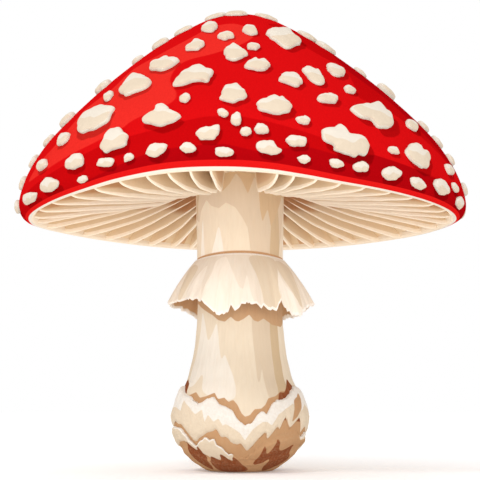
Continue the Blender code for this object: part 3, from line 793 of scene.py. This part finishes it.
def wart_shape(surface, wart, seed):
    """One wart's points, faces and fields. Its ring of outline points lies on the cap round its centre."""
    centre, outward, ring, thickness = wart
    uphill, level = slope_axes(outward)
    reach = ring - centre
    tall = np.abs(reach @ uphill).max()
    spread, lift = np.array(WART_PROFILE).T
    spots = np.concatenate([centre + spread[:, None, None] * reach, np.full((1, len(ring), 3), centre)])
    lifts = np.append(lift, 1)
    places, normals = snap(surface, spots)
    rise = (spots - centre) @ uphill / tall
    aside = (spots - centre) @ level / tall
    crest = -0.08 + 0.16 * np.sin(2.6 * aside + seed) + 0.07 * np.sin(6.1 * aside + 2 * seed)
    below = crest - rise
    top = fade_in(lifts, 0.5, 1)[:, None]
    hollow = 0.08 * np.clip(3 * below, 0, 1) + 0.04 * np.clip(-below, 0, 1)
    height = thickness * lifts[:, None] * (1 - top * hollow)
    height += top * rough(spots, LUMP_SIZE, LUMP_HEIGHT, seed)
    points = places + normals * height[..., None]
    share = np.append(spread, 0)[:, None] + 0.02 * np.sin(5 * np.arctan2(rise, aside) + seed)
    inside = (BRIM_START - share) * tall
    # Painted shade on the wart's lower part below the wavy crest, inside the bright brim.
    fields = {"hollow": np.minimum(below * tall * 0.5, inside), "brim": -inside - 0.05}
    root = centre - outward * WART_ROOT * thickness
    points = np.concatenate([points[:-1].reshape(-1, 3), [root, points[-1, 0]]])
    flat = {"grain": points}
    for name, values in fields.items():
        flat[name] = np.append(values[:-1].ravel(), [values[0, 0], values[-1, 0]])
    return points, closed_faces(len(spread), len(ring), flip=True), flat


def smooth_ring(points, centre, outward, steps, lobes):
    """The outline points in order round the centre, with smooth points between them and shallow lobes."""
    uphill, level = slope_axes(outward)
    angle = np.arctan2((points - centre) @ uphill, (points - centre) @ level)
    ring = spline(points[np.argsort(-angle)], steps, closed=True)
    angle = np.arctan2((ring - centre) @ uphill, (ring - centre) @ level)
    start = lobes.uniform(0, 6)
    wave = 0.035 * np.sin(lobes.choice((5, 6, 7)) * angle + start)
    wave += 0.02 * np.sin(lobes.choice((9, 10, 11)) * angle + 2 * start)
    return centre + (ring - centre) * (1 + wave)[:, None]


def stands_out(centre):
    """The share of its CAD height that a wart shows: all of it at the sides, about half in front."""
    facing = -centre[1] / np.linalg.norm(centre[:2])
    return np.interp(facing, (0.35, 0.6), (1.05, 0.58))


def cad_wart(surface, node, lobes):
    """The centre, outward direction, outline and thickness of a large wart, as the CAD has it."""
    vertices = np.array([tuple(v.co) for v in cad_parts[node].data.vertices]) / MM
    vertices = np.unique(np.round(vertices, 3), axis=0)
    places, outward = snap(surface, vertices)
    lifts = ((vertices - places) * outward).sum(axis=1)
    foot = lifts < FOOT_LIFT
    middle = vertices[foot].mean(axis=0)
    distance = np.linalg.norm(vertices - middle, axis=1)
    points = vertices[foot & (distance > CENTRE_CLEAR)]
    centre, normal = snap(surface, middle)
    return centre, normal, smooth_ring(points, centre, normal, 7, lobes), lifts.max() * stands_out(centre)


def blob_ring(centre, outward, length, width, turn, source):
    """A rounded, lumpy outline in the plane that touches the cap at the centre."""
    uphill, level = slope_axes(outward)
    tilt = math.radians(turn)
    long = length * (level * math.cos(tilt) + uphill * math.sin(tilt))
    wide = width * (uphill * math.cos(tilt) - level * math.sin(tilt))
    points = []
    for step in range(8):
        angle = 2 * math.pi * (step + source.uniform(-0.22, 0.22)) / 8
        reach = 0.5 * source.uniform(0.82, 1.12)
        points.append(centre + reach * (long * math.cos(angle) + wide * math.sin(angle)))
    return np.array(points)


def back_rows(source):
    """Small warts for the hidden half, spread evenly over it."""
    rows = []
    for index in range(BACK_SMALL_WARTS):
        share = (index + 0.5) / BACK_SMALL_WARTS
        azimuth = BACK_FROM + (BACK_TO - BACK_FROM) * ((index * GOLDEN + 0.55) % 1)
        down = 12 + 82 * share ** 0.6
        length = source.uniform(3.4, 7.5)
        rows.append((azimuth, down, length, length * source.uniform(0.5, 0.8), source.uniform(-40, 40)))
    return rows


def small_warts(surface, large):
    """The small warts. One of the hidden half is left out where it would touch another."""
    source = random.Random(SEED)
    taken = [wart[0] for wart in large]
    warts = []
    for number, (azimuth, down, length, width, turn) in enumerate((*SMALL_WARTS, *back_rows(source))):
        centre, outward = snap(surface, cap_point(azimuth, down))
        nearest = min(np.linalg.norm(centre - other) for other in taken)
        if number >= len(SMALL_WARTS) and nearest < BACK_SPACING:
            continue
        taken.append(centre)
        corners = blob_ring(centre, outward, length, width, turn, source)
        ring = smooth_ring(corners, centre, outward, 5, source)
        warts.append((centre, outward, ring, min(max(0.32 * width, THINNEST_WART), THICKEST_SMALL_WART)))
    return warts


def make_small_warts(material, surface, warts):
    shapes = [wart_shape(surface, wart, 100 + number) for number, wart in enumerate(warts)]
    faces = []
    count = 0
    for points, own_faces, _ in shapes:
        faces += [[index + count for index in face] for face in own_faces]
        count += len(points)
    points = np.concatenate([shape[0] for shape in shapes])
    fields = {name: np.concatenate([shape[2][name] for shape in shapes]) for name in shapes[0][2]}
    add_piece("small_warts", points, faces, material, "wart", fields=fields)


# Across one blade: the share of its thickness to a side, and the rise from its free edge in millimetres.
BLADE_SECTION = (
    (-0.5, 2.4), (-0.5, 0.5), (-0.44, 0.14), (-0.3, 0), (0.3, 0), (0.44, 0.14), (0.5, 0.5), (0.5, 2.4),
)


def front_to_back(front, behind, azimuth, radius):
    """A value by radius, from one list for the front gills and from the other for those behind the stem."""
    back = fade_in(np.abs(wrap(azimuth)), BACK_START, BACK_END)
    return between(front, radius) * (1 - back) + between(behind, radius) * back


def gill_depth(azimuth, radius):
    """The share of a blade's full depth. In front of the stem the blades are shallow or stop short."""
    aside = abs(wrap(azimuth))
    if aside < GILL_GAP:
        return 0.2
    stop = 42 - 1.15 * aside
    return 0.25 + 0.75 * float(fade_in(radius, stop - 3, stop + 5))


def make_gills(material):
    along = (np.arange(GILL_STATIONS) / (GILL_STATIONS - 1)) ** 1.25
    radii = GILL_END - (GILL_END - GILL_START) * along
    turn = all_round(GILL_COUNT)
    angle = np.radians(turn)
    middles = turn - GILL_SIDE_SPREAD * np.sin(2 * angle) - GILL_BACK_SPREAD * np.sin(angle)
    following = np.append(middles[1:], middles[0] + 360)
    roof = between(sorted(CAP_UNDERSIDE), radii) - ROOF_DROP
    roof = np.maximum(roof, between(GILL_EDGE, radii) + 0.3)
    thickness = between(GILL_THICKNESS, radii)
    width = len(BLADE_SECTION) + 3
    azimuth = np.zeros((GILL_STATIONS, GILL_COUNT, width))
    height = np.zeros_like(azimuth)
    rise = np.zeros_like(azimuth)
    for i, radius in enumerate(radii):
        for blade, (middle, after) in enumerate(zip(middles, following)):
            sway = 0.3 * math.sin(0.16 * radius + 2.4 * blade)
            edge = front_to_back(GILL_EDGE, BACK_GILL_EDGE, middle, radius)
            full = roof[i] - edge - 0.15 * math.sin(1.9 * blade)
            low = roof[i] - full * gill_depth(middle, radius)
            root = (-0.5, roof[i] - low)
            section = (root, *BLADE_SECTION, (0.5, roof[i] - low))
            for place, (aside, up) in enumerate(section):
                up = min(up, roof[i] - low)
                azimuth[i, blade, place] = middle + math.degrees((aside * thickness[i] + sway) / radius)
                height[i, blade, place] = low + up
                rise[i, blade, place] = up
            azimuth[i, blade, -1] = (middle + after) / 2
            height[i, blade, -1] = roof[i]
            rise[i, blade, -1] = ROOF_RISE
    columns = GILL_COUNT * width
    azimuth, height, rise = (grid.reshape(GILL_STATIONS, columns) for grid in (azimuth, height, rise))
    radius = np.repeat(radii[:, None], columns, axis=1)
    below = cap_place(azimuth, radius, height)
    over = cap_place(azimuth[::-1], radius[::-1], roof[::-1, None] + ROOF_THICKNESS + 0 * height)
    points = np.concatenate([below, over])
    aside = np.abs(wrap(azimuth))
    number = np.repeat(np.arange(GILL_COUNT), width)[None]
    reach = between(SHADE_REACH, aside) + 3 * np.sin(2.4 * number)
    bright = front_to_back(FRONT_BRIGHT, BACK_BRIGHT, azimuth, radius)
    # The faces beside the front of the stem are set lighter: painted light in the deep gap there.
    light = front_to_back(FRONT_LIGHT, BACK_LIGHT, azimuth, radius) + np.interp(aside, (20, 38), (6, 0))
    # Painted shade: tan up the blades and brown deep between them near the stem.
    fields = {
        "edge": bright - rise,
        "face": light - rise,
        "inner": np.maximum(
            reach + 2 * np.minimum(rise, 4) - radius, 2 * np.minimum(8 - aside, rise - 2.5)),
    }
    flat = {name: there_and_back(values) for name, values in fields.items()}
    flat["grain"] = points.reshape(-1, 3)
    faces = grid_faces(len(points), columns, closed_rows=True, flip=True)
    add_piece("gill_blades", points.reshape(-1, 3), faces, material, "gill", ["gills"], flat)


def flame(azimuth, width, low, high):
    """A tall outline with a broad foot and a pointed, leaning tip."""
    shape = ((-1, 0), (-0.7, 0.6), (0.2, 1), (0.5, 0.55), (1, 0))
    return [(azimuth + 0.5 * width * aside, low + up * (high - low)) for aside, up in shape]


def back_flames(source):
    """Tall streaks for the hidden half of the stem: bright ones, then darker ones between them."""
    bright, shade = [], []
    for index in range(BACK_FLAMES):
        azimuth = 84 + 186 * index / BACK_FLAMES
        for target, offset in ((bright, 0), (shade, 10)):
            above = (60, source.uniform(66, 74))
            below = (source.uniform(21, 26), source.uniform(36, 47))
            for low, high in (above, below):
                place = azimuth + offset + source.uniform(-3, 3)
                target.append(flame(place, source.uniform(8, 15), low, high))
    return bright, shade


def bulb_fields(azimuth, height):
    """How deep each place lies in the bulb's brown patches and dark stains, and above the foot of the
    painted highlight on the scales.
    """
    return {
        "white": height - around(HIGHLIGHT_FOOT, azimuth),
        "brown": np.maximum(
            deepest(azimuth, height, BULB_MIDDLE, BROWN_PATCHES), around(LOW_FOOT, azimuth) - height),
        "dark": deepest(azimuth, height, FOOT_MIDDLE, DARK_PATCHES),
    }


def stem_radius(height):
    outline = spline(STEM_OUTLINE, 6)
    return np.interp(height, outline[:, 0], outline[:, 1])


def make_stem(material):
    columns = all_round(STEM_COLUMNS)
    heights = np.append(np.arange(0, STEM_OUTLINE[-1][0], STEM_STEP), STEM_OUTLINE[-1][0])
    azimuth, height = np.meshgrid(columns, heights)
    radius = stem_radius(height)
    streak = at(azimuth, GRAIN_RADIUS + 0 * radius, 0.1 * height)
    fibre = rough(streak, 0.55, 0.1) * fade_in(height, 1, 6)
    points = at(azimuth, radius + fibre, height)
    bright, shade = back_flames(random.Random(SEED))
    brown_band = around(BROWN_BAND_TOP, azimuth) - height
    collar = 0.35 - np.abs(height - ring_top(azimuth) - 0.45)
    fields = {
        "bright": deepest(azimuth, height, STEM_MIDDLE, HIGHLIGHT_FLAMES + tuple(bright)),
        "shade": np.maximum(
            deepest(azimuth, height, STEM_MIDDLE, SHADE_FLAMES + tuple(shade)),
            height - around(UPPER_SHADE, azimuth)),
        "deep": deepest(azimuth, height, STEM_MIDDLE, DEEP_SHADE_FLAMES),
        "shadow": height - around(GILL_SHADOW, azimuth),
        "painted_ring_shadow": np.minimum(height - around(RING_SHADOW, azimuth), 56 - height),
        # Painted shade behind the scales' free edges, and a thin brown line just above the ring's collar.
        "brown_band": np.maximum(brown_band, collar),
        "dark": np.maximum(
            bulb_fields(azimuth, height)["dark"],
            np.minimum(brown_band, deepest(azimuth, height, STEM_MIDDLE, DARK_BAND_PATCHES))),
        # 1 at the foot, near 0 at the top: the top is set lighter, painted light in the cap's shade.
        "low": np.interp(height, (26, 60, 72, 82), (1, 0.62, 0.42, 0.1)),
    }
    ends = np.array([[0, 0, 0], [0, 0, heights[-1]]])
    points = np.concatenate([points.reshape(-1, 3), ends])
    flat = with_ends(fields)
    flat["grain"] = np.concatenate([streak.reshape(-1, 3), ends * 0.1])
    faces = closed_faces(len(heights), STEM_COLUMNS)
    add_piece("stem_and_bulb", points, faces, material, "stem", ["stem"], flat)


def teeth(azimuth, source, size, count):
    """Small uneven teeth round a torn edge."""
    turns = sorted(source.uniform(0, 360) for _ in range(count))
    values = [size * source.uniform(0.3, 1) * (-1) ** index for index in range(count)]
    return np.interp(azimuth, turns, values, period=360)


def ring_top(azimuth):
    """The height of the ring's collar, which sits a little lower at the sides."""
    return RING_OUTLINE[0][1] - RING_SIDE_DROP * np.sin(np.radians(azimuth)) ** 2


def ring_outlines(outlines):
    """Outlines of azimuth and share of the way to the hem, with the share turned into millimetres."""
    return [[(azimuth, share * RING_LENGTH) for azimuth, share in outline] for outline in outlines]


def make_ring(material):
    source = random.Random(SEED + 1)
    columns = all_round(RING_COLUMNS)
    azimuth, share = np.meshgrid(columns, np.linspace(0, 1, RING_ROWS))
    angle = np.radians(azimuth)
    hem = around(RING_HEM, columns) + teeth(columns, source, 0.5, 150)
    knots = np.linspace(0, 1, len(RING_OUTLINE) + 1)
    profile = spline([(k, *p) for k, p in zip(knots, (*RING_OUTLINE, RING_END))], 8)
    radius = np.interp(share, profile[:, 0], profile[:, 1])
    height = np.interp(share, profile[:, 0], profile[:, 2])
    height += (hem - RING_END[1])[None] * share ** 3 + (ring_top(azimuth) - RING_OUTLINE[0][1]) * (1 - share)
    pleat = RING_PLEAT_DEPTH * share ** 1.5 * np.sin(angle * RING_PLEATS)
    fine = 0.22 * share * np.sin(angle * 31 + 1.3 * np.sin(angle * 4))
    half = RING_THICKNESS / 2 * (1 - 0.5 * share ** 4)
    base = radius + pleat + fine
    outer = at(azimuth, base + half, height)
    inner = at(azimuth, base - half, height)[::-1]
    points = np.concatenate([outer, inner])
    to_hem = (1 - share) * BORDER_LENGTH
    both = {
        "bright": deepest(azimuth, share * RING_LENGTH, RING_MIDDLE, ring_outlines(RING_HIGHLIGHTS)),
        "shade": deepest(azimuth, share * RING_LENGTH, RING_MIDDLE, ring_outlines(RING_SHADE)),
        "hem": np.maximum(0.55 - to_hem, 0.9 - share * BORDER_LENGTH),
    }
    fields = {name: there_and_back(values) for name, values in both.items()}
    # The skirt's underside is tan up to near the hem: painted shade under the ring.
    fields["inside"] = np.concatenate([0 * share - 1, np.minimum(to_hem[::-1] - 0.8, 1)]).ravel()
    fields["grain"] = np.concatenate([at(azimuth, GRAIN_RADIUS + 0 * share, share * 1.6)] * 2).reshape(-1, 3)
    faces = grid_faces(len(points), RING_COLUMNS, closed_rows=True, flip=True)
    add_piece("ring_skirt", points.reshape(-1, 3), faces, material, "ring", ["ring"], fields)


def make_scales(name, node, top, foot, lift, material, source):
    """One row of torn scales: a thin jagged cup whose free upper edge stands off the bulb."""
    columns = all_round(STEM_COLUMNS)
    azimuth, share = np.meshgrid(columns, np.linspace(0, 1, SCALE_ROWS))
    high = around(top, azimuth) + teeth(columns, source, 0.3, 80)
    low = around(foot, azimuth) + teeth(columns, source, 0.3, 80)
    low = np.minimum(low, high - 1)
    height = low + (high - low) * share
    wall = stem_radius(height)
    cup = between(BULB_OUTLINE, height)
    body = at(azimuth, 16 + 0 * share, height)
    puff = rough(body, 2.4, 0.28, 3) + rough(body * np.array([1, 1, 0.3]), 0.9, 0.16, 5)
    both = bulb_fields(azimuth, height)
    sunk = fade_in(both["brown"], -0.6, 0.5) * fade_in(share, 0.6, 1)
    taper = fade_in(share, -0.02, 0.16) * (1 - 0.25 * fade_in(share, 0.9, 1)) * (1 - sunk)
    outer = at(azimuth, wall + (cup - wall + lift * share + puff) * taper, height)
    inner = at(azimuth, wall - 0.3 + lift * 0.4 * fade_in(share, 0.8, 1), height)[::-1]
    points = np.concatenate([outer, inner]).reshape(-1, 3)
    both["brim"] = np.minimum(0.4 - (high - height), -0.3 - both["brown"])
    fields = {field: there_and_back(values) for field, values in both.items()}
    fields["grain"] = points
    faces = grid_faces(2 * SCALE_ROWS, STEM_COLUMNS, closed_rows=True)
    add_piece(name, points, faces, material, "volva", [node], fields)


def make_floor():
    mesh = bpy.data.meshes.new("floor")
    corners = [(x * FLOOR_HALF, y * FLOOR_HALF, 0) for x, y in ((-1, -1), (1, -1), (1, 1), (-1, 1))]
    mesh.from_pydata(corners, [], [(0, 1, 2, 3)])
    material = bpy.data.materials.new("floor")
    material.use_nodes = True
    shader = material.node_tree.nodes["Principled BSDF"]
    settings = {
        "Base Color": (0.95, 0.95, 0.95, 1), "Emission Color": (1, 1, 1, 1), "Emission Strength": 0.12,
        "Roughness": 0.9, "Specular IOR Level": 0,
    }
    for socket, value in settings.items():
        shader.inputs[socket].default_value = value
    mesh.materials.append(material)
    floor = add_object("floor", mesh)
    floor.location.z = -FLOOR_GAP


def add_light(name, place, size, power):
    light = bpy.data.lights.new(name, "AREA")
    light.size = size
    light.energy = power
    lamp = add_object(name, light)
    lamp.location = place
    lamp.rotation_euler = (Vector(LIT_PLACE) - Vector(place)).to_track_quat("-Z", "Y").to_euler()


def make_studio():
    world = bpy.data.worlds.new("studio")
    world.use_nodes = True
    background = world.node_tree.nodes["Background"]
    background.inputs["Color"].default_value = (1, 1, 1, 1)
    bpy.context.scene.world = world
    bpy.context.scene.view_settings.view_transform = "Standard"
    add_light("key", (-0.62, -0.75, 0.95), 0.16, 3.2)
    add_light("fill", (0.02, -0.75, 0.05), 0.4, 2.55)


def make_camera():
    lens = bpy.data.cameras.new("camera")
    lens.lens = 77.2
    lens.sensor_width = 36
    lens.clip_start = 0.01
    camera = add_object("camera", lens)
    camera.location = (0, -0.305, 0.01775)
    camera.rotation_euler = (math.radians(90 + 9.27), 0, 0)
    bpy.context.scene.camera = camera


make_camera()
make_studio()
make_floor()
cap = cap_grid()
cap_surface = BVHTree.FromPolygons(cap[2].tolist(), cap[3])
lobe_source = random.Random(SEED)
wart_nodes = sorted(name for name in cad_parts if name.startswith("wart_"))
large_warts = [cad_wart(cap_surface, node, lobe_source) for node in wart_nodes]
little_warts = small_warts(cap_surface, large_warts)
make_cap(skin_material(), cap, large_warts + little_warts)
wart_finish = wart_material()
for wart_node, large_wart in zip(wart_nodes, large_warts):
    shape = wart_shape(cap_surface, large_wart, int(wart_node[-2:]))
    add_piece(f"lump_{wart_node[-2:]}", *shape[:2], wart_finish, "wart", [wart_node], shape[2])
make_small_warts(wart_finish, cap_surface, little_warts)
make_gills(gill_material())
make_stem(stem_material())
make_ring(ring_material())
scale_source = random.Random(SEED + 2)
scale_finish = volva_material()
foot_top = [(azimuth, height - 0.9) for azimuth, height in LOW_FOOT]
make_scales("scales_upper", "volva_ruff_1", SCALE_TOP, SCALE_FOOT, 0.4, scale_finish, scale_source)
make_scales("scales_lower", "volva_ruff_2", LOW_TOP, LOW_FOOT, 0.4, scale_finish, scale_source)
make_scales("scales_foot", "volva_ruff_3", foot_top, [(0, 1.6)], 0.3, scale_finish, scale_source)
